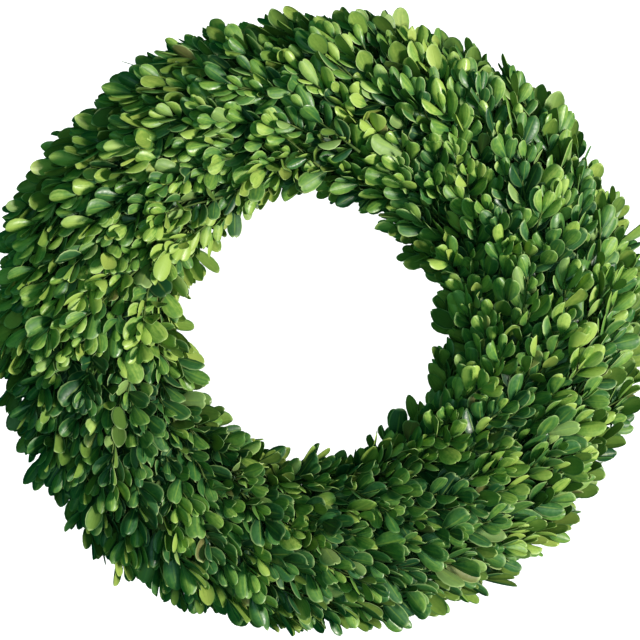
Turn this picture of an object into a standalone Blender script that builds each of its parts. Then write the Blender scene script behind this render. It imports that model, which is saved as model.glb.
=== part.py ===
"""Boxwood wreath, lying on its back: leafy bunches of boxwood bound with wire to a steel hoop frame.

Metres, +Z up. The origin is the middle of the underside. A turn is an angle round the wreath,
counterclockwise seen from above. A side is an angle round the foliage: 0 is the outer edge, 90
degrees the top and 180 degrees the inner edge.
"""

import math
import random

import bmesh
import bpy
from mathutils import Matrix, Vector
from mathutils.bvhtree import BVHTree

# Overall size, and the irregular fullness of a wreath bound by hand
WREATH_DIAMETER = 0.457
HOLE_DIAMETER = 0.178
WREATH_DEPTH = 0.104
RING_CENTRE = Vector((-0.0032, -0.0027, 0.0))
RING_RADIUS = (WREATH_DIAMETER + HOLE_DIAMETER) / 4
FOLIAGE_HALF_WIDTH = (WREATH_DIAMETER - HOLE_DIAMETER) / 4
HEART_HEIGHT = 0.037
FOLIAGE_RISE = WREATH_DEPTH - HEART_HEIGHT
FOLIAGE_DROP = HEART_HEIGHT - 0.003
FULLER_TO_RIGHT = 0.046
FULLER_TO_TOP = 0.039
FULLER_ACROSS = 0.046

# Bunches: each stands in its own sector, and its stems run back under the bunch behind it
BUNCH_COUNT = 18
SECTOR = math.tau / BUNCH_COUNT
CLEARANCE = 0.0003
CORE_SHARE = 0.66
CORE_BOTTOM = 0.0059
CORE_FOOT_HALF_WIDTH = 0.030
CORE_SIDES = [math.radians(degrees) for degrees in (-30, 10, 50, 90, 130, 170, 210)]
WALL = math.radians(3.0)
CROSSBAR_GAP = math.radians(1.3)

# Stem bundle, an octagon with a flat underside
STEM_SIDES = 8
STEM_RADIUS = 0.0110
NECK_RADIUS = 0.0092
FLAT_SHARE = math.cos(math.pi / STEM_SIDES)
STEM_HEIGHT = STEM_RADIUS * FLAT_SHARE
NECK_LENGTH = math.radians(2.6)
NECK_TAPER = math.radians(1.0)
CHANNEL_HALF_WIDTH = 0.0160
CHANNEL_TOP = 0.0224
CHANNEL_SHOULDER = 0.0155
CHANNEL_CROWN_HALF_WIDTH = 0.006

# Coated steel frame of two hoops joined by crossbars
HOOP_WIRE_RADIUS = 0.002
HOOP_OFFSET = 0.0117
HOOP_HEIGHT = 0.0038
HOOP_SEGMENTS = 36
CROSSBAR_RADIUS = 0.0012
CROSSBAR_EVERY = 3
WIRE_SIDES = 6

# Binding wire: one loop round the stems and hoops at each neck, as (outward, height) points
BIND_RADIUS = 0.0006
BIND_RUN = (0.0068, 0.0009)
BIND_LOOP = (
    (0.0150, 0.0008),
    (0.0138, 0.0105),
    (0.0045, 0.0199),
    (-0.0045, 0.0199),
    (-0.0138, 0.0105),
    (-0.0150, 0.0008),
)
BIND_AT = WALL + CROSSBAR_GAP + math.radians(0.8)
BIND_LEAD = math.radians(0.35)
BIND_CROSSING = math.radians(0.9)

# Leaves, drawn larger than life so that few of them cover the wreath
LEAF_ROWS = (7, 7, 7, 7)
ROW_START = 0.75
ROW_OFFSET = 0.618
SIDE_LOW = math.radians(-50)
SIDE_HIGH = math.radians(230)
LEAF_LENGTH = 0.0405
LEAF_WIDTH = 0.0195
LEAF_LENGTH_SPREAD = 0.13
LEAF_OUTLINE = ((0.44, 0.45), (0.80, 0.44))
LEAF_MIDDLE = 0.55
LEAF_CROWN = 0.0010
LEAF_KEEL = 0.0005
LEAF_CURL = 0.10
LEAF_SINK = 0.004
LEAST_LEAN = math.radians(40)
MOST_LEAN = math.radians(76)
LEAF_FORK = math.radians(18)
SPLAY = 0.30
LEAF_LOWEST = 0.0012
PLACING_TRIES = 100
CROSSING_TRIES = 30
SEED = 41


def clear_scene():
    for obj in list(bpy.data.objects):
        bpy.data.objects.remove(obj)


def new_collection(name):
    collection = bpy.data.collections.new(name)
    bpy.context.scene.collection.children.link(collection)
    return collection


def move_to(collection, obj):
    for old in list(obj.users_collection):
        old.objects.unlink(obj)
    collection.objects.link(obj)


def new_material(name, colour, roughness, metallic=0.0):
    material = bpy.data.materials.new(name)
    material.use_nodes = True
    shader = material.node_tree.nodes["Principled BSDF"]
    shader.inputs["Base Color"].default_value = (*colour, 1.0)
    shader.inputs["Roughness"].default_value = roughness
    shader.inputs["Metallic"].default_value = metallic
    material.diffuse_color = (*colour, 1.0)
    return material


def outward(turn):
    return Vector((math.cos(turn), math.sin(turn), 0.0))


def onward(turn):
    return Vector((-math.sin(turn), math.cos(turn), 0.0))


def ring_point(turn, out, height):
    return RING_CENTRE + outward(turn) * (RING_RADIUS + out) + Vector((0.0, 0.0, height))


def fullness(turn):
    to_side = FULLER_TO_RIGHT * math.cos(turn) + FULLER_TO_TOP * math.sin(turn)
    return 1.0 + to_side + FULLER_ACROSS * math.cos(2 * turn)


def foliage_point(turn, side, share):
    """A point of the foliage's outer form, or of the same form shrunk to a share of its size."""
    reach = FOLIAGE_RISE if math.sin(side) > 0 else FOLIAGE_DROP
    out = share * FOLIAGE_HALF_WIDTH * fullness(turn) * math.cos(side)
    return ring_point(turn, out, HEART_HEIGHT + share * reach * math.sin(side))


def foliage_normal(turn, side):
    reach = FOLIAGE_RISE if math.sin(side) > 0 else FOLIAGE_DROP
    out = math.cos(side) / (FOLIAGE_HALF_WIDTH * fullness(turn))
    up = math.sin(side) / reach
    return (outward(turn) * out + Vector((0.0, 0.0, up))).normalized()


def loft(name, sections):
    """A closed solid through sections that have the same number of points."""
    shape = bmesh.new()
    rings = [[shape.verts.new(point) for point in section] for section in sections]
    for near, far in zip(rings, rings[1:]):
        for a in range(len(near)):
            b = (a + 1) % len(near)
            shape.faces.new((near[a], near[b], far[b], far[a]))
    shape.faces.new(reversed(rings[0]))
    shape.faces.new(rings[-1])
    bmesh.ops.recalc_face_normals(shape, faces=shape.faces)
    mesh = bpy.data.meshes.new(name)
    shape.to_mesh(mesh)
    shape.free()
    return bpy.data.objects.new(name, mesh)


def stem_section(turn, radius):
    half_step = math.pi / STEM_SIDES
    angles = [half_step + math.tau * k / STEM_SIDES for k in range(STEM_SIDES)]
    return [
        ring_point(turn, radius * math.cos(a), STEM_HEIGHT + radius * math.sin(a))
        for a in angles
    ]


def stem_bundle(start):
    """The stems of the bunch whose foliage starts at this turn, from their cut ends onward."""
    cut_ends = start - SECTOR + WALL + CROSSBAR_GAP
    finish = start + WALL
    full = cut_ends + NECK_LENGTH + NECK_TAPER
    stations = (
        (cut_ends, NECK_RADIUS),
        (cut_ends + NECK_LENGTH, NECK_RADIUS),
        (full, STEM_RADIUS),
        ((full + finish) / 2, STEM_RADIUS),
        (finish, STEM_RADIUS),
    )
    return loft("stem_bundle", [stem_section(*station) for station in stations])


def core_section(turn):
    points = [foliage_point(turn, side, CORE_SHARE) for side in CORE_SIDES]
    foot = (-CORE_FOOT_HALF_WIDTH, CORE_FOOT_HALF_WIDTH)
    return points + [ring_point(turn, out, CORE_BOTTOM) for out in foot]


def channel_section(turn):
    """The underside channel that the stems of the next bunch lie in."""
    below = -STEM_RADIUS
    outline = (
        (CHANNEL_HALF_WIDTH, below),
        (CHANNEL_HALF_WIDTH, CHANNEL_SHOULDER),
        (CHANNEL_CROWN_HALF_WIDTH, CHANNEL_TOP),
        (-CHANNEL_CROWN_HALF_WIDTH, CHANNEL_TOP),
        (-CHANNEL_HALF_WIDTH, CHANNEL_SHOULDER),
        (-CHANNEL_HALF_WIDTH, below),
    )
    return [ring_point(turn, out, height) for out, height in outline]


def bunch_core(start):
    """The dense inner twigs of one bunch, with the channel for the next bunch's stems."""
    margin = CLEARANCE / (RING_RADIUS - FOLIAGE_HALF_WIDTH) / 2
    turns = (start + margin, start + SECTOR / 2, start + SECTOR - margin)
    core = loft("core", [core_section(turn) for turn in turns])
    first = start + WALL + margin
    stations = (first, start + SECTOR / 2, start + SECTOR + WALL)
    channel = loft("channel", [channel_section(turn) for turn in stations])
    join(core, channel, "DIFFERENCE")
    return core


def join(obj, other, operation):
    """Cuts or joins obj with one object, or with a collection's objects, and removes them."""
    if not obj.users_collection:
        bpy.context.scene.collection.objects.link(obj)
    modifier = obj.modifiers.new(operation.title(), "BOOLEAN")
    modifier.operation = operation
    modifier.solver = "EXACT"
    if isinstance(other, bpy.types.Collection):
        modifier.operand_type = "COLLECTION"
        modifier.collection = other
        used = list(other.objects)
    else:
        bpy.context.scene.collection.objects.link(other)
        modifier.object = other
        used = [other]
    graph = bpy.context.evaluated_depsgraph_get()
    result = bpy.data.meshes.new_from_object(obj.evaluated_get(graph))
    obj.modifiers.clear()
    obj.data = result
    for piece in used:
        bpy.data.objects.remove(piece)
    if isinstance(other, bpy.types.Collection):
        bpy.data.collections.remove(other)


def leaf_shape(root, direction, face, length, width):
    """(points, faces) of one leaf: a lens with a wedge base, a rounded tip and a raised midrib."""
    across = direction.cross(face).normalized()

    def at(along, aside, lift):
        sag = LEAF_CURL * length * along * along
        return root + direction * (along * length) + across * aside + face * (lift - sag)

    outline = [root]
    outline += [at(along, width * half, 0.0) for along, half in LEAF_OUTLINE]
    outline.append(at(1.0, 0.0, 0.0))
    outline += [at(along, -width * half, 0.0) for along, half in reversed(LEAF_OUTLINE)]
    points = outline + [at(LEAF_MIDDLE, 0.0, LEAF_CROWN), at(LEAF_MIDDLE, 0.0, -LEAF_KEEL)]
    count = len(outline)
    faces = []
    for a in range(count):
        b = (a + 1) % count
        faces += [(b, a, count), (a, b, count + 1)]
    return points, faces


def side_at(share):
    """The side below which this share of the foliage's area lies."""

    def area(side):
        return RING_RADIUS * side + FOLIAGE_HALF_WIDTH * math.sin(side)

    wanted = area(SIDE_LOW) + share * (area(SIDE_HIGH) - area(SIDE_LOW))
    low, high = SIDE_LOW, SIDE_HIGH
    for _ in range(30):
        middle = (low + high) / 2
        if area(middle) < wanted:
            low = middle
        else:
            high = middle
    return low


def leaf_places(bunch):
    """(turn, side, hand) of each leaf's root: rows across the foliage, each set off from the last."""
    for row, count in enumerate(LEAF_ROWS):
        turn = (bunch + (row + ROW_START) / len(LEAF_ROWS)) * SECTOR
        offset = (bunch * len(LEAF_ROWS) + row) * ROW_OFFSET % 1.0
        for k in range(count):
            yield turn, side_at((k + offset) / count), 1 if k % 2 else -1


def draw_leaf(rng, turn, side, hand):
    """One try at a leaf: it leans onward and outward, and ends at the foliage's form."""
    length = LEAF_LENGTH * (1.0 + rng.uniform(-LEAF_LENGTH_SPREAD, LEAF_LENGTH_SPREAD))
    turn = turn + rng.uniform(-0.05, 0.05) * SECTOR
    side = side + rng.uniform(-0.09, 0.09)
    surface = foliage_point(turn, side, CORE_SHARE)
    rise = (foliage_point(turn, side, 1.0) - surface).length * rng.uniform(0.70, 1.0)
    lean = min(max(math.acos(min(rise / length, 1.0)), LEAST_LEAN), MOST_LEAN)
    radius = (surface - RING_CENTRE).to_2d().length
    midway = turn + length * math.sin(lean) / radius / 2
    normal = foliage_normal(midway, side)
    direction = onward(midway) * math.sin(lean) + normal * math.cos(lean)
    direction += outward(midway) * (SPLAY * math.cos(side))
    fork = hand * LEAF_FORK * rng.uniform(-0.3, 1.3)
    direction = Matrix.Rotation(fork, 3, normal) @ direction.normalized()
    face = (normal - direction * normal.dot(direction)).normalized()
    roll = hand * rng.uniform(-0.1, 0.6)
    face = Matrix.Rotation(roll, 3, direction) @ face
    root = surface - direction * (LEAF_SINK / math.cos(lean))
    width = LEAF_WIDTH * length / LEAF_LENGTH
    return leaf_shape(root, direction, face, length + LEAF_SINK, width)


def grown(points, by):
    middle = sum(points, Vector()) / len(points)
    return [point + (point - middle).normalized() * by for point in points]


def is_clear(points, faces, others):
    tree = BVHTree.FromPolygons(grown(points, 2 * CLEARANCE), faces)
    return not any(tree.overlap(other) for other in others)


def leaves_of_bunches(cores):
    """Places each bunch's leaves clear of the other bunches, and of each other where they can be."""
    rng = random.Random(SEED)
    graph = bpy.context.evaluated_depsgraph_get()
    core_trees = [BVHTree.FromObject(core, graph) for core in cores]
    placed = []
    leaves = [[] for _ in cores]
    for bunch in range(BUNCH_COUNT):
        for place in leaf_places(bunch):
            for attempt in range(PLACING_TRIES):
                points, faces = draw_leaf(rng, *place)
                if min(point.z for point in points) < LEAF_LOWEST:
                    continue
                may_cross = attempt >= PLACING_TRIES - CROSSING_TRIES
                near = [core_trees[bunch - 1], core_trees[(bunch + 1) % BUNCH_COUNT]]
                near += [
                    tree
                    for owner, middle, tree in placed
                    if (middle - points[-1]).length < 1.5 * LEAF_LENGTH
                    and not (may_cross and owner == bunch)
                ]
                if is_clear(points, faces, near):
                    placed.append((bunch, points[-1], BVHTree.FromPolygons(points, faces)))
                    leaves[bunch].append((points, faces))
                    break
    return leaves


def add_leaf(collection, points, faces):
    mesh = bpy.data.meshes.new("leaf")
    mesh.from_pydata(points, [], faces)
    leaf = bpy.data.objects.new("leaf", mesh)
    collection.objects.link(leaf)


def build_bunches(wreath, material):
    starts = [k * SECTOR for k in range(BUNCH_COUNT)]
    cores = [bunch_core(start) for start in starts]
    leaves = leaves_of_bunches(cores)
    for number, (start, core) in enumerate(zip(starts, cores)):
        pieces = new_collection("pieces")
        pieces.objects.link(stem_bundle(start))
        for points, faces in leaves[number]:
            add_leaf(pieces, points, faces)
        join(core, pieces, "UNION")
        core.name = f"bunch_{number + 1:02d}"
        move_to(wreath, core)
        core.data.materials.clear()
        core.data.materials.append(material)


def new_hoop(offset):
    bpy.ops.mesh.primitive_torus_add(
        location=RING_CENTRE + Vector((0.0, 0.0, HOOP_HEIGHT)),
        rotation=(0.0, 0.0, BIND_AT),
        major_radius=RING_RADIUS + offset,
        minor_radius=HOOP_WIRE_RADIUS,
        major_segments=HOOP_SEGMENTS,
        minor_segments=WIRE_SIDES,
    )
    return bpy.context.object


def new_crossbar(turn):
    bpy.ops.mesh.primitive_cylinder_add(
        vertices=WIRE_SIDES,
        radius=CROSSBAR_RADIUS,
        depth=2 * HOOP_OFFSET,
        location=ring_point(turn, 0.0, HOOP_HEIGHT),
        rotation=(0.0, math.pi / 2, turn),
    )
    return bpy.context.object


def build_frame(wreath, material):
    """Two hoops of wire, joined by short crossbars that pass between the stem bundles."""
    frame = new_hoop(HOOP_OFFSET)
    pieces = new_collection("pieces")
    move_to(pieces, new_hoop(-HOOP_OFFSET))
    for bunch in range(0, BUNCH_COUNT, CROSSBAR_EVERY):
        move_to(pieces, new_crossbar(bunch * SECTOR + WALL + CROSSBAR_GAP / 2))
    join(frame, pieces, "UNION")
    frame.name = "wire_frame"
    move_to(wreath, frame)
    frame.data.shade_smooth()
    frame.data.set_sharp_from_angle(angle=math.radians(70))
    frame.data.materials.clear()
    frame.data.materials.append(material)


def binding_path():
    for bunch in range(BUNCH_COUNT):
        turn = bunch * SECTOR + BIND_AT
        yield ring_point(turn - BIND_LEAD, *BIND_RUN)
        step = BIND_LEAD / len(BIND_LOOP)
        for count, (out, height) in enumerate(BIND_LOOP):
            yield ring_point(turn + count * step, out, height)
        yield ring_point(turn + BIND_LEAD + BIND_CROSSING, *BIND_RUN)
        yield ring_point(turn + SECTOR / 2, *BIND_RUN)


def build_binding(wreath, material):
    points = list(binding_path())
    curve = bpy.data.curves.new("binding_wire", "CURVE")
    curve.dimensions = "3D"
    curve.bevel_depth = BIND_RADIUS
    curve.bevel_resolution = 1
    spline = curve.splines.new("POLY")
    spline.points.add(len(points) - 1)
    for point, place in zip(spline.points, points):
        point.co = (*place, 1.0)
    spline.use_cyclic_u = True
    curve.materials.append(material)
    wreath.objects.link(bpy.data.objects.new("binding_wire", curve))


def main():
    clear_scene()
    wreath = new_collection("boxwood_wreath")
    leaf_green = new_material("boxwood_leaf", (0.09, 0.20, 0.035), 0.55)
    green_wire = new_material("coated_wire", (0.03, 0.07, 0.03), 0.45, 0.3)
    steel = new_material("florist_wire", (0.25, 0.24, 0.22), 0.4, 0.9)
    build_bunches(wreath, leaf_green)
    build_frame(wreath, green_wire)
    build_binding(wreath, steel)


main()
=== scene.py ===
"""Boxwood wreath, seen from straight above as it lies on a plain pale floor."""

import math

import bpy
import numpy as np
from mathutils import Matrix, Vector
from mathutils.bvhtree import BVHTree
from mathutils.geometry import tessellate_polygon


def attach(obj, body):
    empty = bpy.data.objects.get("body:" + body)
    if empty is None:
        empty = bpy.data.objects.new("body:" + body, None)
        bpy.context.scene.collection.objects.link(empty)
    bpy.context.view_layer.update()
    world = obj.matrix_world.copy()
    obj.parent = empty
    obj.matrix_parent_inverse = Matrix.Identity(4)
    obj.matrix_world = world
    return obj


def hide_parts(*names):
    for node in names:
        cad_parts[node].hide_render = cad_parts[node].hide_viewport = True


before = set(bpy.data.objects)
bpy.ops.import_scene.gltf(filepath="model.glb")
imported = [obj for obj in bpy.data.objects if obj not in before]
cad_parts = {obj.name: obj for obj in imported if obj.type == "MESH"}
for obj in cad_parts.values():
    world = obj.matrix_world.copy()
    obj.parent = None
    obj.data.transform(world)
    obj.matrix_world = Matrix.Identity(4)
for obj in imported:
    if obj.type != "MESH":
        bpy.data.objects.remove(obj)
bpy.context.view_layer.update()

# The foliage's outer form, as in the solids: a thick ring, a little fuller to the right and the top
RING_CENTRE = np.array((-0.0032, -0.0027, 0.0))
RING_RADIUS = 0.15875
FOLIAGE_HALF_WIDTH = 0.06975
HEART_HEIGHT = 0.037
FOLIAGE_RISE = 0.067
FOLIAGE_DROP = 0.034
FULLER_TO_RIGHT = 0.046
FULLER_TO_TOP = 0.028
FULLER_ACROSS = 0.068
WIDER_THAN_TALL = 0.0017
BUNCH_COUNT = 18
SECTOR = math.tau / BUNCH_COUNT

# Sprig tips: two steps spread them evenly, and each lies a share of the way out in the foliage
SPRIGS_PER_BUNCH = 105
STEP_ALONG = 0.7548776662
STEP_AROUND = 0.5698402910
JITTER_ALONG = 0.08
JITTER_AROUND = 0.015
SIDE_LOW = math.radians(-80)
SIDE_HIGH = math.radians(260)
SIDE_SAMPLES = 400
TIP_AHEAD = 0.030
TIP_SHARE = (0.682, 0.912)
LOWER_ON_TOP = 0.05
LOWER_INSIDE = 0.01

# A few sprigs stand proud, but not near the ring's top and bottom, where the size is limited
PROUD_SPRIGS = 0.04
PROUD_BY = 0.07
PROUD_UP_TO = 0.85

# Tufts: sums of waves, with their counts round the ring and round its section from and below these
TUFT_HEIGHT = 0.037
TUFT_WAVES = 10
WAVES_FROM = (9, 2)
WAVES_BELOW = (24, 7)

# How the sprigs lie: along the ring, fanned outward over its top, and leaning off the surface
LAID_OUTWARD = math.radians(42)
LAY_SWING = math.radians(4)
LAY_SPREAD = math.radians(9)
FAN_FROM = math.radians(-10)
FAN_OVER = math.radians(145)
FAN_LEAST = 0.1
FAN_EASED = 0.4
FAN_EASED_FROM = math.radians(120)
FAN_EASED_OVER = math.radians(60)
TIP_LEAN = math.radians(44)
BASE_LEAN = math.radians(66)
LEAN_SPREAD = math.radians(7)
LEAN_ON_TOP = math.radians(7)
LEAN_INSIDE = math.radians(14)
SPRIG_LENGTH = 0.040
SPRIG_SIZES = (0.86, 1.14)
SPRIG_TAIL = 0.006
SPRIG_RADII = (0.0004, 0.0010)
LOWEST_SPRIG = 0.002

# Pairs of leaves from the tip down, each pair square to the one before it
PAIR_STEPS = (0.0010, 0.0040, 0.0058, 0.0064, 0.0068, 0.0070, 0.0060, 0.0050, 0.0050)
PAIR_SIZES = (0.72, 0.92, 1.0, 1.0, 1.0, 0.95, 0.95, 0.95, 0.95)
PAIR_FORKS = [math.radians(angle) for angle in (12, 21, 28, 34, 39, 43, 47, 51, 55)]
PAIR_TWIST = 0.18
PAIR_FLATTENED = 0.55
FORK_RANGE = (0.82, 1.18)
FACING = 0.70
FACING_SPREAD = 0.15
FACING_RANGE = (0.1, 0.98)
INNER_FACES_UP = 0.4
ROLL_SPREAD = 0.18
STALK = 0.0006

# Leaves: sizes in metres and shares of them, then each part of the form as a range or mean and spread
LEAF_LENGTH = 0.0228
LEAF_LENGTHS = (0.74, 1.18)
LEAF_WIDTH_SHARE = 0.50
LEAF_WIDTHS = (0.80, 1.18)
LEAF_THICKNESS = 0.0005
THINNER_WITHIN = 0.15
BASE_TAPER = (0.72, 1.05)
TIP_TAPER = (0.46, 0.70)
CURL = (0.07, 0.05)
FOLD = (0.25, 0.12)
CUP = (0.12, 0.14)
NOTCHED_LEAVES = 0.15
NOTCH_DEPTH = 0.05
NOTCH_FROM = 0.9
NOTCH_OVER = 0.1
MARGIN_FROM = 0.80
MARGIN_ROLL = 0.08
RIM_ANGLE = math.radians(110)
LEAF_MIDDLE = 0.6
FINE_SHARE = 0.60
MEDIUM_SHARE = 0.80

# Tones: 0 is dark and 1 is light, and the bunches are counted from the right, against the clock
BASE_TONE = 0.70
SPRIG_TONES = 0.12
PATCH_TONES = 0.15
LEAF_TONES = 0.14
# Darker for each pair down a sprig: partly older leaves, partly painted shade of the lower layers
DARKER_PER_PAIR = 0.07
# Painted shade: leaves deeper in the foliage than the share LIGHT_FROM are made darker
DARKER_INWARD = 2.7
LIGHT_FROM = 0.80
# Painted light: leaves lighter toward the upper left of the ring
PAINTED_LIGHT_AMOUNT = 0.085
PAINTED_LIGHT_SIDE = math.radians(125)
# Painted shade: leaves darker on the ring's outer side
PAINTED_SHADE_OUTSIDE = 0.14
BUNCH_SHADES = {
    0: 0.04, 2: 0.05, 3: 0.14, 4: 0.03, 6: 0.07, 7: 0.13, 8: 0.19, 9: -0.26, 10: -0.22,
    12: 0.05, 14: -0.05, 15: 0.17, 16: 0.14, 17: 0.11,
}

# Fitting: the limits of the leaves' places, and how a leaf that crosses another is tried again
PRESSED_BELOW = 0.005
HIGHEST = 0.1095
FARTHEST_UP_OR_DOWN = 0.2255
REFIT_ROUNDS = 3
REFIT_TURN = math.radians(14)
REFIT_PITCH = math.radians(7)
REFIT_SHRINK = 0.94
SEED = 5

# Back: cores with a channel, as in the solids
CORE_SHARE = 0.54
CORE_STATIONS = 12
CORE_SIDES = (-35, 215)
CORE_COLUMNS = 16
CORE_ROUGHNESS = 0.0022
CORE_GAP = math.radians(0.08)
CHANNEL_HALF_WIDTH = 0.0155
CHANNEL_TOP = 0.0224
CHANNEL = (
    (-0.032, 0.0150), (-0.0165, 0.0130), (-0.0165, 0.0155), (-0.006, 0.0224),
    (0.006, 0.0224), (0.0165, 0.0155), (0.0165, 0.0130), (0.032, 0.0150),
)

# Back: bundles of stems, drawn in to a neck where the binding wire holds them
STEM_HEIGHT = 0.01016
STEM_RADIUS = 0.0017
STEM_SIDES = 8
STEM_RINGS = ((0.0, 1), (0.0041, 6), (0.0082, 12))
STEM_STEPS = (0.0, 0.0012, 0.06, 0.14, 0.22, 0.40, 0.60, 0.80, 0.92, 1.0)
STEM_START = math.radians(-15.7)
STEM_STARTS_VARY = (-0.008, 0.012)
STEM_ENTRY = math.radians(2.0)
STEM_END = math.radians(9)
STEM_NECK = 0.86
STEM_NECK_WIDTH = 0.045
STEM_TWIST = 0.25
STEM_JITTER = 0.00022
STEM_WIDENS = 0.5
STEM_RISES = 0.022

# Back: the wire frame's hoops and crossbars, with swollen welds at the bars' ends
HOOP_OFFSET = 0.0117
HOOP_HEIGHT = 0.0038
HOOP_WIRE_RADIUS = 0.0019
HOOP_STATIONS = 160
HOOP_SIDES = 12
CROSSBAR_EVERY = 3
CROSSBAR_AT = math.radians(3.65)
CROSSBAR_RADIUS = 0.0012
CROSSBAR_SIDES = 10
CROSSBAR_ALONG = (-1.0, -0.93, -0.8, 0.8, 0.93, 1.0)
CROSSBAR_SWELL = (1.5, 1.35, 1.0, 1.0, 1.35, 1.5)

# Back: binding wire, as its distance off the ring and its height on the run and in half a turn
BIND_RADIUS = 0.0006
BIND_SIDES = 6
BIND_SMOOTHING = 3
BIND_LIFT = 0.0002
BIND_AT = math.radians(5.4)
BIND_TURNS = 3
BIND_PITCH = math.radians(0.5)
BIND_LEAVES_AFTER = 1.6
BIND_RUN = (0.0068, 0.0009)
BIND_RUN_AT = [math.radians(turn) for turn in (10, 14, 18, 22)]
BIND_HALF_LOOP = (
    (0.0105, 0.0009), (0.0140, 0.0013), (0.0149, 0.0035), (0.0144, 0.0075),
    (0.0126, 0.0120), (0.0088, 0.0168), (0.0040, 0.0196),
)

# Leaf looks: greens by tone, then where and how strongly other colours lie over them
UPPER_GREENS = (
    (0.0, (0.011, 0.062, 0.020)), (0.35, (0.039, 0.138, 0.034)), (0.6, (0.096, 0.224, 0.042)),
    (0.8, (0.178, 0.325, 0.054)), (1.0, (0.340, 0.475, 0.096)),
)
LOWER_GREENS = ((0.0, (0.10, 0.19, 0.035)), (0.6, (0.20, 0.32, 0.055)), (1.0, (0.38, 0.48, 0.10)))
UNDERSIDE_EDGE = (0.52, 0.66)
MOTTLE_SCALE = 420.0
MOTTLE_TONES = 0.40
STREAK_SCALES = (3.6, 1.6, 90.0)
STREAK_TONES = 0.70
# Painted shade toward each leaf's foot, where it lies under others
SHADED_FOOT_EDGE = (0.05, 0.60)
SHADED_FOOT_TONES = (-0.34, 0.03)
# Pale leaves: partly a waxy bloom, partly painted sheen
PALE_SHEEN_GREEN = (0.42, 0.56, 0.17)
PALE_SHEEN_AGES = (0.90, 0.03)
PALE_SHEEN_AMOUNT = 0.38
YELLOWED = (0.21, 0.19, 0.06)
YELLOWED_AGES = (0.98, 1.0)
RIB_GREEN = (0.33, 0.45, 0.07)
RIB_EDGE = (0.12, 0.03)
RIB_FADE = (0.98, 0.70)
RIB_AMOUNT = 0.30
# A pale margin round each leaf, partly the leaf's own and partly painted rim highlight
MARGIN_HIGHLIGHT_GREEN = (0.45, 0.58, 0.23)
MARGIN_HIGHLIGHT_EDGE = (0.84, 0.99)
MARGIN_HIGHLIGHT_TIP = (0.90, 1.0)
MARGIN_HIGHLIGHT_AMOUNTS = (0.10, 0.68)
LEAF_ROUGHNESS = (0.34, 0.56)
MOTTLE_ROUGHNESS = (-0.06, 0.10)

# Twig and wire looks
BARK_COLOURS = ((0.3, (0.04, 0.08, 0.02)), (0.55, (0.09, 0.14, 0.035)), (0.75, (0.17, 0.20, 0.06)))
# Cores: dark twigs, their darkness partly painted shade of the deep foliage
INNER_SHADE_COLOURS = ((0.35, (0.003, 0.055, 0.014)), (0.7, (0.008, 0.100, 0.028)))
CUT_COLOURS = ((0.35, (0.42, 0.36, 0.19)), (0.7, (0.62, 0.55, 0.33)))
CUT_EDGE = (0.5, 0.9)
COAT_VARIES = 1.6
WORN_EDGE = (0.60, 0.72)
NOISE_RANGE = (0.3, 0.7)

# Stage: the camera sees the frame's width at the height of the plane
PLANE_HEIGHT = 0.05
CAMERA_DISTANCE = 2.0
FRAME_WIDTH = 0.457
SENSOR = 36.0
FLOOR_SIZE = 20.0
WHITE = (1.0, 1.0, 1.0)
FLOOR_COLOUR = (0.9, 0.9, 0.9)
WARM_LIGHT = (1.0, 0.94, 0.86)
COOL_LIGHT = (0.50, 1.0, 0.78)
SHADE = (0.001, 0.092, 0.050)
LIGHTS_AIM = (0.0, 0.0, 0.04)

UP = np.array((0.0, 0.0, 1.0))
rng = np.random.default_rng(SEED)


def outward(turn):
    return np.stack((np.cos(turn), np.sin(turn), np.zeros_like(turn)), axis=-1)


def onward(turn):
    return np.stack((-np.sin(turn), np.cos(turn), np.zeros_like(turn)), axis=-1)


def unit(vectors):
    return vectors / np.linalg.norm(vectors, axis=-1, keepdims=True)


def between(first, second, angle):
    """Directions turned by an angle from the first toward the second, which is square to it."""
    return first * np.cos(angle)[:, None] + second * np.sin(angle)[:, None]


def rotate(vectors, axis, angle):
    cos, sin = np.cos(angle)[:, None], np.sin(angle)[:, None]
    dot = np.sum(vectors * axis, axis=1, keepdims=True)
    return vectors * cos + np.cross(axis, vectors) * sin + axis * dot * (1 - cos)


def fullness(turn):
    to_side = FULLER_TO_RIGHT * np.cos(turn) + FULLER_TO_TOP * np.sin(turn)
    return 1.0 + to_side + FULLER_ACROSS * np.cos(2 * turn)


def ring_point(turn, out, height):
    place = RING_CENTRE + outward(turn) * (RING_RADIUS + out)[..., None]
    place[..., 2] += height
    return place


def foliage_point(turn, side, share):
    reach = np.where(np.sin(side) > 0, FOLIAGE_RISE, FOLIAGE_DROP)
    out = share * FOLIAGE_HALF_WIDTH * fullness(turn) * np.cos(side)
    return ring_point(turn, out, HEART_HEIGHT + share * reach * np.sin(side))


def foliage_normal(turn, side):
    reach = np.where(np.sin(side) > 0, FOLIAGE_RISE, FOLIAGE_DROP)
    out = np.cos(side) / (FOLIAGE_HALF_WIDTH * fullness(turn))
    normal = outward(turn) * out[..., None]
    normal[..., 2] = np.sin(side) / reach
    return unit(normal)


def side_at(share):
    """The side below which this share of the foliage's area lies."""
    sides = np.linspace(SIDE_LOW, SIDE_HIGH, SIDE_SAMPLES)
    area = RING_RADIUS * sides + FOLIAGE_HALF_WIDTH * np.sin(sides)
    area = (area - area[0]) / (area[-1] - area[0])
    return np.interp(share, area, sides)


def new_field():
    """A smooth random height over the foliage, about -1 to 1, with tufts some 50 mm across."""
    waves = rng.integers(WAVES_FROM, WAVES_BELOW, (TUFT_WAVES, 2)) * (1, rng.choice((-1, 1)))
    phases = rng.uniform(0.0, math.tau, TUFT_WAVES)

    def field(turn, side):
        angle = waves[:, :1] * turn + waves[:, 1:] * side + phases[:, None]
        return np.cos(angle).sum(axis=0) * math.sqrt(2.0 / TUFT_WAVES)

    return field


TUFTS, LIGHTER = new_field(), new_field()


# Leaf templates

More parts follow.
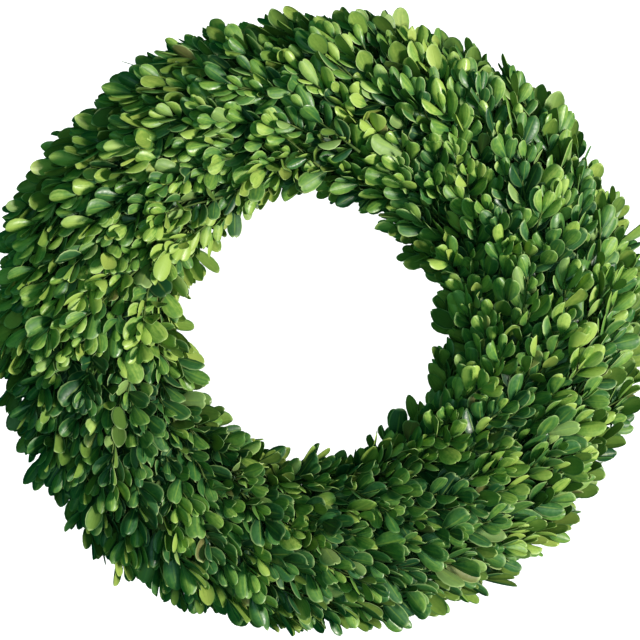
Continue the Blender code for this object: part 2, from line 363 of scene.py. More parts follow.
def leaf_template(stations, columns):
    """Grid of a closed leaf: along, across and level of each vertex, and its faces."""
    along, across, level = [0.0], [0.0], [0.0]
    tops, bottoms = [], []

    def add(t, x, height):
        along.append(t)
        across.append(x)
        level.append(height)
        return len(along) - 1

    for t in stations:
        top = [add(t, x, 0.0 if abs(x) == 1.0 else 1.0) for x in columns]
        tops.append(top)
        bottoms.append([top[0], add(t, 0.0, -1.0), top[-1]])
    last = add(1.0, 0.0, 0.0)
    triangles, quads = [], []
    for rows, flip in ((tops, False), (bottoms, True)):
        for a in range(len(rows[0]) - 1):
            ends = [(0, rows[0][a + 1], rows[0][a]), (rows[-1][a], rows[-1][a + 1], last)]
            triangles += [face[::-1] if flip else face for face in ends]
            for near, far in zip(rows, rows[1:]):
                face = (near[a], near[a + 1], far[a + 1], far[a])
                quads.append(face[::-1] if flip else face)
    return tuple(map(np.array, (along, across, level))), triangles, quads


FINE = leaf_template((0.12, 0.38, 0.62, 0.80, 0.91, 0.97, 0.994), (-1.0, -0.86, 0.0, 0.86, 1.0))
MEDIUM = leaf_template((0.20, 0.55, 0.85, 0.98), (-1.0, 0.0, 1.0))
COARSE = leaf_template((0.35, 0.86), (-1.0, 0.0, 1.0))


def leaf_sheet(stations, columns):
    """Grid of a leaf's middle layer without its foot, to find which leaves cross."""
    along, across = np.repeat(stations, len(columns)), np.tile(columns, len(stations))
    rows = np.arange(len(along)).reshape(len(stations), len(columns))
    corners = [rows[:-1, :-1], rows[:-1, 1:], rows[1:, 1:], rows[1:, :-1]]
    a, b, c, d = (corner.ravel() for corner in corners)
    triangles = np.concatenate((np.stack((a, b, c), axis=1), np.stack((a, c, d), axis=1)))
    return (along, across, np.zeros(len(along))), triangles


SHEET = leaf_sheet((0.28, 0.52, 0.76, 0.95), (-0.95, 0.0, 0.95))


def leaf_points(grid, leaves):
    """Places of the grid's points on each leaf, pressed flat where it nears the floor."""
    along, across, level = grid
    base, tip, curl, fold, cup, notch = (leaves["shape"][:, k : k + 1] for k in range(6))
    length, width = leaves["length"][:, None], leaves["width"][:, None]
    t = along[None, :]
    x = across[None, :]
    outline = np.power(t, base) * np.power(np.clip(1.0 - t, 0.0, 1.0), tip)
    peak = base / (base + tip)
    outline = outline / (np.power(peak, base) * np.power(1.0 - peak, tip))
    half = outline * width / 2
    lift = level * LEAF_THICKNESS / 2 * np.minimum(1.0, half / (THINNER_WITHIN * width))
    bend = -curl * length * t * t
    rolled = MARGIN_ROLL * np.clip((np.abs(x) - MARGIN_FROM) / (1.0 - MARGIN_FROM), 0.0, 1.0)
    dish = -(fold * np.abs(x) + cup * x * x + rolled) * half
    rear = notch * length * (1.0 - np.abs(x)) * np.clip((t - NOTCH_FROM) / NOTCH_OVER, 0, 1)
    direction, face = leaves["direction"], leaves["face"]
    aside = np.cross(direction, face)
    points = (
        leaves["root"][:, None, :]
        + (t * length - rear)[..., None] * direction[:, None, :]
        + (x * half)[..., None] * aside[:, None, :]
        + (lift + bend + dish)[..., None] * face[:, None, :]
    )
    height = points[..., 2]
    pressed = PRESSED_BELOW * np.exp(np.minimum(height / PRESSED_BELOW - 1.0, 0.0))
    points[..., 2] = np.where(height < PRESSED_BELOW, pressed, height)
    return points


def pick(leaves, chosen):
    return {key: values[chosen] for key, values in leaves.items()}


def join(parts):
    return {key: np.concatenate([part[key] for part in parts]) for key in parts[0]}


class Gathered:
    """Leaves, tubes and cores gathered for one mesh, with values that the materials use."""

    def __init__(self):
        self.points, self.triangles, self.quads = [], [], []
        self.values = {name: [] for name in ("along", "across", "under", "tone", "age")}
        self.count = 0

    def add(self, points, triangles, quads, **values):
        """Copies of one form (copies, points, 3), whose faces count the points of one copy."""
        copies, per_copy = points.shape[:2]
        start = self.count + np.arange(copies)[:, None, None] * per_copy
        self.points.append(points.reshape(-1, 3))
        for faces, kept, corners in ((triangles, self.triangles, 3), (quads, self.quads, 4)):
            faces = np.array(faces, int).reshape(-1, corners)
            kept.append((faces + start).reshape(-1, corners))
        for name, kept in self.values.items():
            kept.append(np.broadcast_to(values.get(name, 0.0), (copies, per_copy)).ravel())
        self.count += copies * per_copy

    def add_leaves(self, template, leaves):
        grid, triangles, quads = template
        along, across, level = grid
        self.add(
            leaf_points(grid, leaves), triangles, quads,
            along=along, across=across, under=0.5 - level / 2,
            tone=leaves["tone"][:, None], age=leaves["age"][:, None],
        )

    def add_tubes(self, path, radius, sides=4, closed=False, age=0.0):
        """Tubes along paths (copies, stations, 3), with one radius and age or one for each station."""
        stations = path.shape[1]
        if closed:
            ahead = unit(np.roll(path, -1, axis=1) - np.roll(path, 1, axis=1))
            side = np.broadcast_to(UP, path.shape)
        else:
            ahead = unit(np.gradient(path, axis=1))
            chord = unit(path[:, -1] - path[:, 0])
            steep = np.abs(chord[:, 2:]) > 0.8
            axis = np.where(steep, (1.0, 0.0, 0.0), UP)
            side = np.broadcast_to(np.cross(chord, axis)[:, None, :], path.shape)
        a = unit(side - ahead * np.sum(side * ahead, axis=2, keepdims=True))
        b = np.cross(ahead, a)
        angle = np.arange(sides) * math.tau / sides
        ring = np.cos(angle)[:, None] * a[:, :, None, :] + np.sin(angle)[:, None] * b[:, :, None, :]
        points = path[:, :, None, :] + ring * np.broadcast_to(radius, stations)[None, :, None, None]
        rows = np.arange(stations * sides).reshape(stations, sides)
        far = np.roll(rows, -1, axis=0)
        near, far = (rows, far) if closed else (rows[:-1], far[:-1])
        quads = np.stack((near, np.roll(near, -1, 1), np.roll(far, -1, 1), far), axis=-1)
        caps = []
        if not closed:
            for k in range(1, sides - 1):
                caps.append((rows[0, 0], rows[0, k + 1], rows[0, k]))
                caps.append((rows[-1, 0], rows[-1, k], rows[-1, k + 1]))
        ages = np.repeat(np.broadcast_to(age, stations), sides)
        self.add(points.reshape(len(path), -1, 3), caps, quads, age=ages)

    def mesh(self, name):
        points = np.concatenate(self.points)
        triangles, quads = np.concatenate(self.triangles), np.concatenate(self.quads)
        mesh = bpy.data.meshes.new(name)
        mesh.vertices.add(len(points))
        mesh.vertices.foreach_set("co", points.ravel())
        loops = np.concatenate((triangles.ravel(), quads.ravel()))
        mesh.loops.add(len(loops))
        mesh.loops.foreach_set("vertex_index", loops)
        sizes = np.concatenate((np.full(len(triangles), 3), np.full(len(quads), 4)))
        starts = np.concatenate(([0], np.cumsum(sizes)[:-1]))
        mesh.polygons.add(len(sizes))
        mesh.polygons.foreach_set("loop_start", starts)
        mesh.update(calc_edges=True)
        mesh.shade_smooth()
        mesh.set_sharp_from_angle(angle=RIM_ANGLE)
        for key, parts in self.values.items():
            layer = mesh.attributes.new(key, "FLOAT", "POINT")
            layer.data.foreach_set("value", np.concatenate(parts))
        return mesh


# Growing the sprigs

def sprig_tips(bunch, count):
    """Where a bunch's sprigs end: turn round the ring, side round its section and share of the way out."""
    index = bunch * count + np.arange(count) + 1
    along = (index * STEP_ALONG) % 1.0
    around = (index * STEP_AROUND) % 1.0
    turn = (bunch + along + rng.uniform(-JITTER_ALONG, JITTER_ALONG, count)) * SECTOR
    side = side_at(np.clip(around + rng.uniform(-JITTER_AROUND, JITTER_AROUND, count), 0.0, 1.0))
    turn = turn + TIP_AHEAD / (RING_RADIUS + FOLIAGE_HALF_WIDTH * np.cos(side))
    share = rng.uniform(*TIP_SHARE, count) - LOWER_ON_TOP * np.abs(np.sin(side))
    share -= LOWER_INSIDE * inner(side)
    share += TUFT_HEIGHT * TUFTS(turn, side)
    proud = (rng.uniform(size=count) < PROUD_SPRIGS) & (np.abs(np.sin(turn)) < PROUD_UP_TO)
    share += np.where(proud, PROUD_BY, 0.0)
    return turn, side, share


def inner(side):
    """How far a side faces the ring's hole, from 0 to 1."""
    return np.clip(-np.cos(side), 0.0, 1.0)


def laid(turn, side, normal):
    """The way along the foliage in which each sprig lies."""
    ahead = unit(onward(turn))
    fan = np.clip((side - FAN_FROM) / FAN_OVER, FAN_LEAST, 1.0)
    fan *= 1.0 - FAN_EASED * np.clip((side - FAN_EASED_FROM) / FAN_EASED_OVER, 0.0, 1.0)
    yaw = (LAY_SWING * np.cos(2 * turn) - LAID_OUTWARD) * fan + rng.normal(0.0, LAY_SPREAD, len(turn))
    return between(ahead, np.cross(normal, ahead), yaw)


def sprig_tones(bunch, turn, side):
    tone = rng.normal(0.0, SPRIG_TONES, len(turn)) + PATCH_TONES * LIGHTER(turn, side)
    # Painted light, lighter toward the upper left
    tone += PAINTED_LIGHT_AMOUNT * np.cos(turn - PAINTED_LIGHT_SIDE) + BUNCH_SHADES.get(bunch, 0.0)
    # Painted shade, darker on the ring's outer side
    tone -= PAINTED_SHADE_OUTSIDE * np.clip(np.cos(side), 0.0, 1.0)
    return tone


def leaf_shapes(count):
    """Each leaf's taper at base and tip, its curl, fold and cup, and a notch at the tip of some."""
    return np.stack(
        (
            rng.uniform(*BASE_TAPER, count),
            rng.uniform(*TIP_TAPER, count),
            rng.normal(*CURL, count),
            rng.normal(*FOLD, count),
            rng.normal(*CUP, count),
            np.where(rng.uniform(size=count) < NOTCHED_LEAVES, NOTCH_DEPTH, 0.0),
        ),
        axis=1,
    )


def grow_leaves(pair, place, stem, radial, toward_light, size, sprig_tone):
    """One leaf of a pair on each sprig, on the side that radial points to."""
    count = len(place)
    fork = PAIR_FORKS[pair] * rng.uniform(*FORK_RANGE, count)
    direction = between(stem, radial, fork)
    upper = stem * np.sin(fork)[:, None] - radial * np.cos(fork)[:, None]
    facing = np.clip(FACING + rng.normal(0.0, FACING_SPREAD, count), *FACING_RANGE)[:, None]
    face = upper * (1 - facing) + toward_light * facing
    face = unit(face - direction * np.sum(face * direction, axis=1, keepdims=True))
    face = rotate(face, direction, rng.normal(0.0, ROLL_SPREAD, count))
    length = LEAF_LENGTH * PAIR_SIZES[pair] * size * rng.uniform(*LEAF_LENGTHS, count)
    width = length * LEAF_WIDTH_SHARE * rng.uniform(*LEAF_WIDTHS, count)
    shape = leaf_shapes(count)
    # Lower pairs darker, partly older leaves and partly painted shade
    tone = BASE_TONE + sprig_tone + rng.normal(0.0, LEAF_TONES, count) - DARKER_PER_PAIR * pair
    age = rng.uniform(0.0, 1.0, count)
    return {
        "root": place + radial * STALK, "direction": direction, "face": face,
        "length": length, "width": width, "shape": shape, "tone": tone, "age": age,
    }


def grow(bunch, stems):
    """Adds the sprigs' stems to the mesh and returns their leaves."""
    count = SPRIGS_PER_BUNCH
    turn, side, share = sprig_tips(bunch, count)
    place = foliage_point(turn, side, share)
    place += outward(turn) * (WIDER_THAN_TALL * np.cos(2 * turn))[:, None]
    normal = foliage_normal(turn, side)
    ahead = laid(turn, side, normal)
    lean_shift = rng.normal(0.0, LEAN_SPREAD, count) + LEAN_ON_TOP * np.abs(np.sin(side))
    lean_shift += LEAN_INSIDE * inner(side)
    size = rng.uniform(*SPRIG_SIZES, count)
    tone = sprig_tones(bunch, turn, side)
    spin = rng.uniform(0.0, math.tau, count)
    rise = INNER_FACES_UP * inner(side) * (np.sin(side) > 0)
    toward_light = unit(normal + UP * rise[:, None])
    grown = []
    path = [place]
    reach = 0.0
    for pair, step in enumerate(PAIR_STEPS):
        lean = TIP_LEAN + (BASE_LEAN - TIP_LEAN) * (reach / SPRIG_LENGTH) + lean_shift
        stem = between(normal, ahead, lean)
        place = place - stem * (step * size)[:, None]
        path.append(place)
        reach += step
        outer = unit(normal - stem * np.sum(normal * stem, axis=1, keepdims=True))
        beside = np.cross(stem, outer)
        turned = spin + pair * math.pi / 2 + rng.normal(0.0, PAIR_TWIST, count)
        radial = beside * np.cos(turned)[:, None] + outer * (PAIR_FLATTENED * np.sin(turned))[:, None]
        for hand in (1, -1):
            reaching = unit(radial) * hand
            grown.append(grow_leaves(pair, place, stem, reaching, toward_light, size, tone))
    stem = between(normal, ahead, BASE_LEAN + lean_shift)
    path.append(place - stem * SPRIG_TAIL)
    path = np.stack(path, axis=1)[:, ::2]
    path[..., 2] = np.maximum(path[..., 2], LOWEST_SPRIG)
    stems.add_tubes(path, np.linspace(*SPRIG_RADII, path.shape[1]))
    leaves = join(grown)
    leaves["bunch"] = np.full(len(leaves["age"]), bunch)
    return leaves


# Fitting the leaves

def allowed(leaves):
    """Which leaves stay within the wreath's full size and out of the channel for the stems."""
    points = leaf_points(COARSE[0], leaves)
    out = np.linalg.norm(points[..., :2] - RING_CENTRE[:2], axis=2) - RING_RADIUS
    in_channel = (np.abs(out) < CHANNEL_HALF_WIDTH) & (points[..., 2] < CHANNEL_TOP)
    within = (points[..., 2] < HIGHEST) & (np.abs(points[..., 1]) < FARTHEST_UP_OR_DOWN)
    return within.all(axis=1) & ~in_channel.any(axis=1)


def share_of(leaves):
    """How far out in the foliage the middle of each leaf lies."""
    to_middle = (LEAF_MIDDLE * leaves["length"])[:, None]
    middle = leaves["root"] + leaves["direction"] * to_middle - RING_CENTRE
    turn = np.arctan2(middle[:, 1], middle[:, 0])
    out = (np.hypot(middle[:, 0], middle[:, 1]) - RING_RADIUS) / (FOLIAGE_HALF_WIDTH * fullness(turn))
    rise = middle[:, 2] - HEART_HEIGHT
    rise = rise / np.where(rise > 0, FOLIAGE_RISE, FOLIAGE_DROP)
    return np.hypot(out, rise)


def crossings(leaves):
    """Pairs of leaves that cut through each other."""
    grid, triangles = SHEET
    points = leaf_points(grid, leaves)
    count, per_leaf = points.shape[:2]
    faces = triangles[None] + np.arange(count)[:, None, None] * per_leaf
    tree = BVHTree.FromPolygons(
        points.reshape(-1, 3).tolist(), faces.reshape(-1, 3).tolist(), all_triangles=True
    )
    hits = np.array(tree.overlap(tree)) // len(triangles)
    return np.unique(hits[hits[:, 0] < hits[:, 1]], axis=0)


def refit(leaves, again):
    """Turns these leaves a little and makes them a little smaller."""
    count = int(again.sum())
    direction, face = leaves["direction"][again], leaves["face"][again]
    direction = rotate(direction, face, rng.uniform(-REFIT_TURN, REFIT_TURN, count))
    pitch = rng.uniform(-REFIT_PITCH, REFIT_PITCH, count)
    aside = np.cross(direction, face)
    leaves["direction"][again] = rotate(direction, aside, pitch)
    leaves["face"][again] = rotate(face, aside, pitch)
    leaves["length"][again] *= REFIT_SHRINK
    leaves["width"][again] *= REFIT_SHRINK


def fit(leaves):
    """Keeps the outermost leaves, and of those under them only the ones that cross no other.

    A leaf left out is refitted and tried again.
    """
    leaves = pick(leaves, allowed(leaves))
    share = share_of(leaves)
    # Painted shade on the leaves that lie deep in the foliage
    leaves["tone"] = leaves["tone"] - DARKER_INWARD * np.clip(LIGHT_FROM - share, 0.0, 1.0)
    leaves = pick(leaves, np.argsort(-share))
    kept = np.zeros(len(leaves["age"]), bool)
    for attempt in range(REFIT_ROUNDS + 1):
        if attempt:
            refit(leaves, ~kept)
        crossed = [[] for _ in kept]
        for first, second in crossings(leaves).tolist():
            crossed[first].append(second)
            crossed[second].append(first)
        for leaf in np.flatnonzero(~kept):
            kept[leaf] = not kept[crossed[leaf]].any()
    return pick(leaves, kept)


# The back

def add_core(stems, bunch):
    """The dense inner twigs of a bunch, as a rough dark mass with a channel under it, its darkness partly
    painted shade of the deep foliage.
    """
    sides = np.radians(np.linspace(*CORE_SIDES, CORE_COLUMNS))
    turns = bunch * SECTOR + np.linspace(CORE_GAP, SECTOR - CORE_GAP, CORE_STATIONS)
    outs, heights = np.array(CHANNEL).T
    sections = []
    for turn in turns:
        share = CORE_SHARE + rng.uniform(-1, 1, len(sides)) * CORE_ROUGHNESS / FOLIAGE_HALF_WIDTH
        shell = foliage_point(np.full(len(sides), turn), sides, share)
        under = ring_point(np.full(len(outs), turn), outs, heights)
        sections.append(np.concatenate((shell, under)))
    points = np.array(sections)
    rows = np.arange(points.shape[0] * points.shape[1]).reshape(points.shape[:2])
    near, far = rows[:-1], rows[1:]
    quads = np.stack((near, far, np.roll(far, -1, 1), np.roll(near, -1, 1)), axis=-1)
    ahead = Vector(onward(np.array(turns[0])))
    caps = []
    for row, section, outer in ((rows[0], points[0], -ahead), (rows[-1], points[-1], ahead)):
        outline = [Vector(place) for place in section]
        for face in tessellate_polygon([outline]):
            corners = [outline[k] for k in face]
            facing = (corners[1] - corners[0]).cross(corners[2] - corners[0])
            caps.append([row[k] for k in (face if facing.dot(outer) > 0 else face[::-1])])
    stems.add(points.reshape(1, -1, 3), caps, quads, tone=1.0)


def add_stem_bundle(stems, bunch):
    """The gathered stems, from their cut ends under the bunch behind and up into their own."""
    begin = bunch * SECTOR
    last = begin + STEM_END
    steps = np.array(STEM_STEPS)
    for distance, count in STEM_RINGS:
        angle = np.arange(count) * math.tau / count + math.pi / 2
        first = begin + STEM_START + rng.uniform(*STEM_STARTS_VARY, count)
        twist = rng.uniform(-STEM_TWIST, STEM_TWIST)
        jitter = rng.normal(0.0, STEM_JITTER, (count, 2, len(steps)))
        turn = first[:, None] + (last - first)[:, None] * steps[None]
        past = np.clip((turn - begin - STEM_ENTRY) / (last - begin), 0.0, 1.0)
        necked = np.exp(-(((turn - begin + SECTOR - BIND_AT) / STEM_NECK_WIDTH) ** 2))
        spread = distance * (1.0 - (1.0 - STEM_NECK) * necked + STEM_WIDENS * past)
        around = angle[:, None] + twist * steps[None]
        out = spread * np.cos(around) + jitter[:, 0]
        height = STEM_HEIGHT + spread * np.sin(around) + np.abs(jitter[:, 1]) + STEM_RISES * past
        path = ring_point(turn.ravel(), out.ravel(), height.ravel()).reshape(count, -1, 3)
        stems.add_tubes(path, STEM_RADIUS, sides=STEM_SIDES, age=(steps == 0.0).astype(float))


def add_hoops(wire):
    turn = np.linspace(0.0, math.tau, HOOP_STATIONS, endpoint=False)
    for offset in (-HOOP_OFFSET, HOOP_OFFSET):
        path = ring_point(turn, np.full(len(turn), offset), HOOP_HEIGHT)
        wire.add_tubes(path[None], HOOP_WIRE_RADIUS, sides=HOOP_SIDES, closed=True)
    across = np.array(CROSSBAR_ALONG) * HOOP_OFFSET
    radii = CROSSBAR_RADIUS * np.array(CROSSBAR_SWELL)
    for bunch in range(0, BUNCH_COUNT, CROSSBAR_EVERY):
        turn = np.full(len(across), bunch * SECTOR + CROSSBAR_AT)
        wire.add_tubes(ring_point(turn, across, HOOP_HEIGHT)[None], radii, sides=CROSSBAR_SIDES)


def smooth_closed(points, steps):
    """A Catmull-Rom curve through points, closed on itself."""
    before, after, later = (np.roll(points, -shift, axis=0) for shift in (-1, 1, 2))
    t = (np.arange(steps) / steps)[None, :, None]
    p0, p1, p2, p3 = (p[:, None, :] for p in (before, points, after, later))
    curve = 2 * p1 + (p2 - p0) * t + (2 * p0 - 5 * p1 + 4 * p2 - p3) * t**2
    curve = curve + (3 * p1 - p0 - 3 * p2 + p3) * t**3
    return (curve / 2).reshape(-1, points.shape[1])


def add_binding(wire):
    """One long wire: close turns round the stems and frame of each bunch, and a run to the next."""
    loop = list(BIND_HALF_LOOP) + [(-out, height) for out, height in reversed(BIND_HALF_LOOP)]
    places = []
    for bunch in range(BUNCH_COUNT):
        start = bunch * SECTOR + BIND_AT - BIND_TURNS * BIND_PITCH / 2
        places.append((start - BIND_PITCH, *BIND_RUN))
        for step in range(BIND_TURNS * len(loop)):
            places.append((start + BIND_PITCH * step / len(loop), *loop[step % len(loop)]))
        places.append((start + (BIND_TURNS + BIND_LEAVES_AFTER) * BIND_PITCH, *BIND_RUN))
        places += [(bunch * SECTOR + turn, *BIND_RUN) for turn in BIND_RUN_AT]
    path = smooth_closed(ring_point(*np.array(places).T), BIND_SMOOTHING)
    path[:, 2] = np.maximum(path[:, 2], BIND_RADIUS + BIND_LIFT)
    wire.add_tubes(path[None], BIND_RADIUS, sides=BIND_SIDES, closed=True)


# Materials

class Recipe:
    """A material's nodes, with a short call for each kind that repeats."""

    def __init__(self, name):
        self.material = bpy.data.materials.new(name)
        self.material.use_nodes = True
        self.nodes = self.material.node_tree.nodes
        self.links = self.material.node_tree.links
        self.surface = self.nodes["Principled BSDF"].inputs

    def feed(self, socket, value):
        """Sets a socket to a number or a colour, or links it to an output."""
        if isinstance(value, (int, float)):
            socket.default_value = value
        elif isinstance(value, tuple):
            socket.default_value = (*value, 1.0)
        else:
            self.links.new(value, socket)

    def attribute(self, name):
        node = self.nodes.new("ShaderNodeAttribute")
        node.attribute_name = name
        return node.outputs["Fac"]

    def maths(self, operation, *values, clamp=False):
        node = self.nodes.new("ShaderNodeMath")
        node.operation = operation
        node.use_clamp = clamp
        for socket, value in zip(node.inputs, values):
            self.feed(socket, value)
        return node.outputs[0]

    def remap(self, value, low, high, to_low=0.0, to_high=1.0):
        node = self.nodes.new("ShaderNodeMapRange")
        node.interpolation_type = "SMOOTHSTEP"
        names = ("Value", "From Min", "From Max", "To Min", "To Max")
        for name, amount in zip(names, (value, low, high, to_low, to_high)):
            self.feed(node.inputs[name], amount)
        return node.outputs["Result"]

    def mix(self, factor, first, second):
        node = self.nodes.new("ShaderNodeMix")
        node.data_type = "RGBA"
        for socket, value in ((0, factor), (6, first), (7, second)):
            self.feed(node.inputs[socket], value)
        return node.outputs[2]

    def ramp(self, value, stops):
        node = self.nodes.new("ShaderNodeValToRGB")
        elements = node.color_ramp.elements
        while len(elements) < len(stops):
            elements.new(0.5)
        for element, (place, colour) in zip(elements, stops):
            element.position = place
            element.color = (*colour, 1.0)
        self.feed(node.inputs["Fac"], value)
        return node.outputs["Color"]

    def place(self, values, scales):
        """A place whose three parts are values times scales."""
        node = self.nodes.new("ShaderNodeCombineXYZ")
        for socket, value, scale in zip(node.inputs, values, scales):
            self.feed(socket, self.maths("MULTIPLY", value, scale))
        return node.outputs[0]

    def noise(self, scale, detail, place=None):
        """Noise by the given place, or else by the place on the object."""
        if place is None:
            place = self.nodes.new("ShaderNodeTexCoord").outputs["Object"]
        node = self.nodes.new("ShaderNodeTexNoise")
        for name, value in (("Vector", place), ("Scale", scale), ("Detail", detail)):
            self.feed(node.inputs[name], value)
        return node.outputs["Fac"]

    def bump(self, height, strength, distance):
        node = self.nodes.new("ShaderNodeBump")
        for name, value in (("Height", height), ("Strength", strength), ("Distance", distance)):
            self.feed(node.inputs[name], value)
        self.feed(self.surface["Normal"], node.outputs["Normal"])


def leaf_material():
    """Greens by tone, with grain, streaks and painted shade at the foot, a lighter rib and underside, a
    pale margin that is partly painted highlight, and pale leaves that are partly painted sheen.
    """
    recipe = Recipe("boxwood_leaf")
    tone, age = recipe.attribute("tone"), recipe.attribute("age")
    along, across = recipe.attribute("along"), recipe.attribute("across")
    from_middle = recipe.maths("ABSOLUTE", across)
    mottle = recipe.noise(MOTTLE_SCALE, detail=5.0)
    spread = recipe.maths("MULTIPLY_ADD", mottle, MOTTLE_TONES, -MOTTLE_TONES / 2)
    # Painted shade, darker toward the leaf's foot
    spread = recipe.maths("ADD", spread, recipe.remap(along, *SHADED_FOOT_EDGE, *SHADED_FOOT_TONES))
    veins = recipe.noise(1.0, detail=2.0, place=recipe.place((across, along, age), STREAK_SCALES))
    streaks = recipe.maths("MULTIPLY_ADD", veins, STREAK_TONES, -STREAK_TONES / 2)
    spread = recipe.maths("ADD", spread, streaks)
    varied = recipe.maths("ADD", tone, spread, clamp=True)

    upper = recipe.ramp(varied, UPPER_GREENS)
    # Some pale leaves, partly a waxy bloom and partly painted sheen
    pale = recipe.maths("MULTIPLY", recipe.maths("COMPARE", age, *PALE_SHEEN_AGES), PALE_SHEEN_AMOUNT)
    upper = recipe.mix(pale, upper, PALE_SHEEN_GREEN)
    upper = recipe.mix(recipe.remap(age, *YELLOWED_AGES), upper, YELLOWED)
    rib = recipe.maths("MULTIPLY", recipe.remap(from_middle, *RIB_EDGE), recipe.remap(along, *RIB_FADE))
    rib = recipe.maths("MULTIPLY", rib, RIB_AMOUNT)
    upper = recipe.mix(rib, upper, RIB_GREEN)

    lower = recipe.ramp(varied, LOWER_GREENS)
    body = recipe.mix(recipe.remap(recipe.attribute("under"), *UNDERSIDE_EDGE), upper, lower)
    # Pale margin along the sides and tip, partly painted rim highlight
    rim = recipe.maths(
        "MAXIMUM", recipe.remap(from_middle, *MARGIN_HIGHLIGHT_EDGE), recipe.remap(along, *MARGIN_HIGHLIGHT_TIP)
    )
    margin = recipe.maths("MULTIPLY", rim, recipe.remap(age, 0.0, 1.0, *MARGIN_HIGHLIGHT_AMOUNTS))
    recipe.feed(recipe.surface["Base Color"], recipe.mix(margin, body, MARGIN_HIGHLIGHT_GREEN))

    rough = recipe.remap(mottle, *NOISE_RANGE, *MOTTLE_ROUGHNESS)
    rough = recipe.maths("ADD", rough, recipe.remap(age, 0.0, 1.0, *LEAF_ROUGHNESS))
    recipe.feed(recipe.surface["Roughness"], rough)
    recipe.bump(recipe.maths("SUBTRACT", mottle, rib), strength=0.35, distance=0.0004)
    return recipe.material


def twig_material():
    """Green bark, pale wood at the cut ends, which have an age, and dark cores, which have a tone and
    whose darkness is partly painted shade.
    """
    recipe = Recipe("boxwood_twig")
    noise = recipe.noise(260.0, detail=5.0)
    cut = recipe.remap(recipe.attribute("age"), *CUT_EDGE)
    skin = recipe.mix(cut, recipe.ramp(noise, BARK_COLOURS), recipe.ramp(noise, CUT_COLOURS))
    # Cores darker than bark, partly painted shade
    colour = recipe.mix(recipe.attribute("tone"), skin, recipe.ramp(noise, INNER_SHADE_COLOURS))
    recipe.feed(recipe.surface["Base Color"], colour)
    recipe.feed(recipe.surface["Roughness"], 0.8)
    recipe.feed(recipe.surface["Specular IOR Level"], 0.15)
    recipe.bump(noise, strength=0.6, distance=0.001)
    return recipe.material


def wire_material(name, coat, worn, metallic, roughness):
    """Wire with a thin coat that varies along it and is worn through in small places."""
    recipe = Recipe(name)
    noise = recipe.noise(180.0, detail=6.0)
    lighter = tuple(COAT_VARIES * part for part in coat)
    shade = recipe.ramp(noise, ((0.3, coat), (0.6, lighter)))
    recipe.feed(recipe.surface["Base Color"], recipe.mix(recipe.remap(noise, *WORN_EDGE), shade, worn))
    recipe.feed(recipe.surface["Roughness"], recipe.remap(noise, *NOISE_RANGE, *roughness))
    recipe.feed(recipe.surface["Metallic"], metallic)
    recipe.bump(noise, strength=0.3, distance=0.0003)
    return recipe.material


LEAF = leaf_material()
TWIG = twig_material()
COATED = wire_material(
    "coated_wire", coat=(0.018, 0.05, 0.022), worn=(0.06, 0.055, 0.05),
    metallic=0.2, roughness=(0.3, 0.5),
)
STEEL = wire_material(
    "florist_wire", coat=(0.030, 0.085, 0.035), worn=(0.22, 0.20, 0.17),
    metallic=0.5, roughness=(0.3, 0.55),
)


# Pieces

def show(name, mesh, material, node):
    mesh.materials.append(material)
    piece = bpy.data.objects.new(name, mesh)
    bpy.context.scene.collection.objects.link(piece)
    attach(piece, "root")
    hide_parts(node)


twigs = [Gathered() for bunch in range(BUNCH_COUNT)]
grown = fit(join([grow(bunch, twigs[bunch]) for bunch in range(BUNCH_COUNT)]))
for bunch, stems in enumerate(twigs):
    add_core(stems, bunch)
    add_stem_bundle(stems, bunch)
    leaves = Gathered()
    own = pick(grown, grown["bunch"] == bunch)
    inward = np.linspace(0.0, 1.0, len(own["bunch"]))
    leaves.add_leaves(FINE, pick(own, inward < FINE_SHARE))
    leaves.add_leaves(MEDIUM, pick(own, (inward >= FINE_SHARE) & (inward < MEDIUM_SHARE)))
    leaves.add_leaves(COARSE, pick(own, inward >= MEDIUM_SHARE))
    node = f"bunch_{bunch + 1:02d}"
    show(f"leaves_{bunch + 1:02d}", leaves.mesh("leaves"), LEAF, node)
    show(f"twigs_{bunch + 1:02d}", stems.mesh("twigs"), TWIG, node)

hoops, binding = Gathered(), Gathered()
add_hoops(hoops)
add_binding(binding)
show("frame_hoops", hoops.mesh("hoops"), COATED, "wire_frame")
show("binding", binding.mesh("binding"), STEEL, "binding_wire")


# Stage: floor, lights, camera

def add_object(name, data, place):
    obj = bpy.data.objects.new(name, data)
    bpy.context.scene.collection.objects.link(obj)
    obj.location = place
    return obj


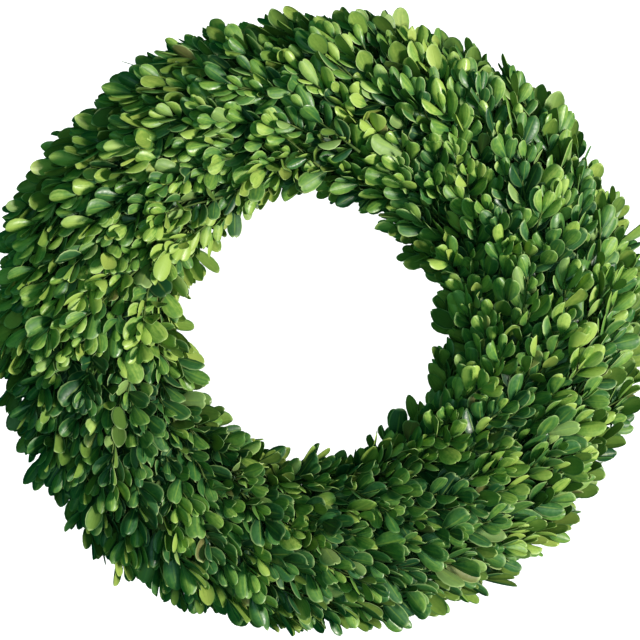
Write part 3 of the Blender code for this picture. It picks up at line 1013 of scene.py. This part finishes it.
def area_light(name, place, size, power, colour):
    data = bpy.data.lights.new(name, "AREA")
    data.size = size
    data.energy = power
    data.color = colour
    light = add_object(name, data, place)
    light.rotation_euler = (Vector(LIGHTS_AIM) - Vector(place)).to_track_quat("-Z", "Y").to_euler()
    return light


camera_data = bpy.data.cameras.new("camera")
camera_data.sensor_width = SENSOR
camera_data.lens = SENSOR * CAMERA_DISTANCE / FRAME_WIDTH
camera = add_object("camera", camera_data, (0.0, 0.0, PLANE_HEIGHT + CAMERA_DISTANCE))
bpy.context.scene.camera = camera

bpy.ops.mesh.primitive_plane_add(size=FLOOR_SIZE)
floor = bpy.context.object
floor.name = "floor"
paint = Recipe("floor")
paint.feed(paint.surface["Base Color"], FLOOR_COLOUR)
paint.feed(paint.surface["Roughness"], 0.9)
floor.data.materials.append(paint.material)
floor.visible_diffuse = False
floor.visible_glossy = False

# The wash lights the floor alone, and the key and the fill light all but the floor
key = area_light("key", place=(2.31, -0.16, 2.05), size=0.62, power=144.0, colour=WARM_LIGHT)
fill = area_light("fill", place=(-0.1, -0.1, 2.6), size=1.6, power=12.5, colour=COOL_LIGHT)
wash = area_light("wash", place=(0.0, 0.0, 6.0), size=16.0, power=2100.0, colour=WHITE)
floor_only = bpy.data.collections.new("floor_only")
floor_only.objects.link(floor)
wash.light_linking.receiver_collection = floor_only
wash.light_linking.blocker_collection = floor_only
others = bpy.data.collections.new("all_but_floor")
others.objects.link(floor)
others.collection_objects[0].light_linking.link_state = "EXCLUDE"
for light in (key, fill):
    light.light_linking.receiver_collection = others

# The world is white to the camera and a faint green to all else
world = bpy.data.worlds.new("studio")
bpy.context.scene.world = world
world.use_nodes = True
tree = world.node_tree
rays = tree.nodes.new("ShaderNodeLightPath")
blend = tree.nodes.new("ShaderNodeMix")
blend.data_type = "RGBA"
blend.inputs[6].default_value = (*SHADE, 1.0)
blend.inputs[7].default_value = (*WHITE, 1.0)
tree.links.new(rays.outputs["Is Camera Ray"], blend.inputs[0])
tree.links.new(blend.outputs[2], tree.nodes["Background"].inputs["Color"])
bpy.context.scene.view_settings.view_transform = "Standard"
